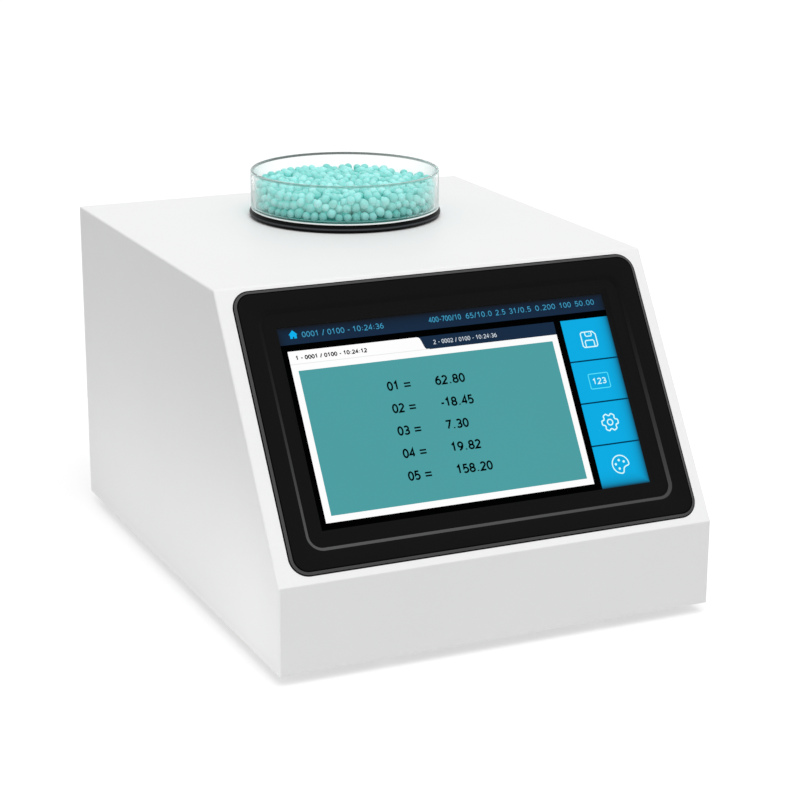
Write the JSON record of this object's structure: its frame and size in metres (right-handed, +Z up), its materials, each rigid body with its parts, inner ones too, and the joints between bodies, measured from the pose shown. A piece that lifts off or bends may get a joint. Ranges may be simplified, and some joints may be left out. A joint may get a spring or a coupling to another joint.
{
  "type": "benchtop colorimeter",
  "caption": "Countertop sphere colorimeter with a sloping touch screen and a top sample port that carries a dish of granules.",
  "frame": {"origin": "middle of the footprint, on the bench under the rubber feet", "axes": "+X to the user's right, +Y to the rear panel, +Z up; the sloping screen faces -Y"},
  "size_m": [0.202, 0.257, 0.172],
  "materials": {
    "case_white": "fine matt powder coat",
    "tray_grey": "matt powder coat",
    "screw_steel": "zinc plated",
    "foot_rubber": "matt",
    "bezel_black": "fine matt mould",
    "screen_glass": "clear",
    "gasket_black": "matt foam",
    "lcd_black": "glossy",
    "bracket_steel": "plain",
    "nut_steel": "zinc plated",
    "standoff_brass": "nickelled brass",
    "board_green": "solder mask",
    "ribbon_grey": "satin",
    "ring_black": "satin",
    "window_glass": "clear",
    "retainer_black": "black anodised",
    "sphere_white": "white diffuse lining",
    "optics_black": "black anodised",
    "optics_glass": "clear",
    "filter_glass": "pale yellow",
    "motor_steel": "plain",
    "mirror_coat": "polished",
    "socket_steel": "nickelled",
    "socket_black": "satin",
    "switch_black": "satin",
    "dish_glass": "clear",
    "granule_turquoise": "translucent granules"
  },
  "bodies": {
    "chassis": {"housing_cover": "case_white", "base_tray": "tray_grey", "rear_panel": "case_white", "base_screws": "screw_steel", "rear_panel_screws": "screw_steel", "feet": "foot_rubber", "foot_screws": "screw_steel", "display_bezel": "bezel_black", "touch_glass": "screen_glass", "panel_gasket": "gasket_black", "lcd_module": "lcd_black", "display_bracket": "bracket_steel", "bezel_nuts": "nut_steel", "display_standoffs": "standoff_brass", "display_board": "board_green", "display_screws": "screw_steel", "window_gasket": "gasket_black", "port_window": "window_glass", "window_retainer": "retainer_black", "window_screws": "screw_steel", "sphere_upper": "sphere_white", "sphere_lower": "sphere_white", "sphere_screws": "screw_steel", "sphere_posts": "bracket_steel", "sphere_baffle": "sphere_white", "lamp_housing": "optics_black", "condenser_lens": "optics_glass", "flash_lamp": "optics_glass", "lamp_board": "board_green", "lamp_flange_screws": "screw_steel", "lamp_board_screws": "screw_steel", "filter_motor": "motor_steel", "trap_motor": "motor_steel", "light_trap": "optics_black", "detector_tube": "optics_black", "detector_lens": "optics_glass", "spectrometer_housing": "optics_black", "spectrometer_lid": "optics_black", "spectrometer_screws": "screw_steel", "fold_mirror": "mirror_coat", "grating": "mirror_coat", "sensor_board": "board_green", "main_board": "board_green", "main_board_standoffs": "standoff_brass", "main_board_screws": "screw_steel", "display_ribbon": "ribbon_grey", "connector_board": "board_green", "connector_standoffs": "standoff_brass", "connector_screws": "screw_steel", "dc_jack": "socket_black", "usb_device_socket": "socket_steel", "usb_host_socket": "socket_steel", "power_switch": "switch_black"},
    "aperture_ring": {"port_ring": "ring_black"},
    "sample": {"petri_dish": "dish_glass", "granule_sample": "granule_turquoise"},
    "rocker": {"power_rocker": "switch_black"},
    "filter_swing": {"filter_arm": "optics_black", "uv_filter": "filter_glass"},
    "trap_swing": {"trap_arm": "sphere_white"}
  },
  "joints": [
    {"name": "ring_lift", "type": "slide", "parent": "chassis", "child": "aperture_ring", "axis": [0, 0, 1], "range_m": [0, 0.03]},
    {"name": "dish_lift", "type": "slide", "parent": "aperture_ring", "child": "sample", "axis": [0, 0, 1], "range_m": [0, 0.06]},
    {"name": "power_press", "type": "hinge", "parent": "chassis", "child": "rocker", "pos_m": [0.072, 0.1216, 0.027], "axis": [1, 0, 0], "range_deg": [0, 16]},
    {"name": "filter_turn", "type": "hinge", "parent": "chassis", "child": "filter_swing", "pos_m": [0.0377, 0.01081, 0.07075], "axis": [0, 0.866, 0.5], "range_deg": [0, 45]},
    {"name": "trap_turn", "type": "hinge", "parent": "chassis", "child": "trap_swing", "pos_m": [-0.0281, 0.0613, 0.04671], "axis": [-0.1392, 0, -0.9903], "range_deg": [0, 50]}
  ]
}
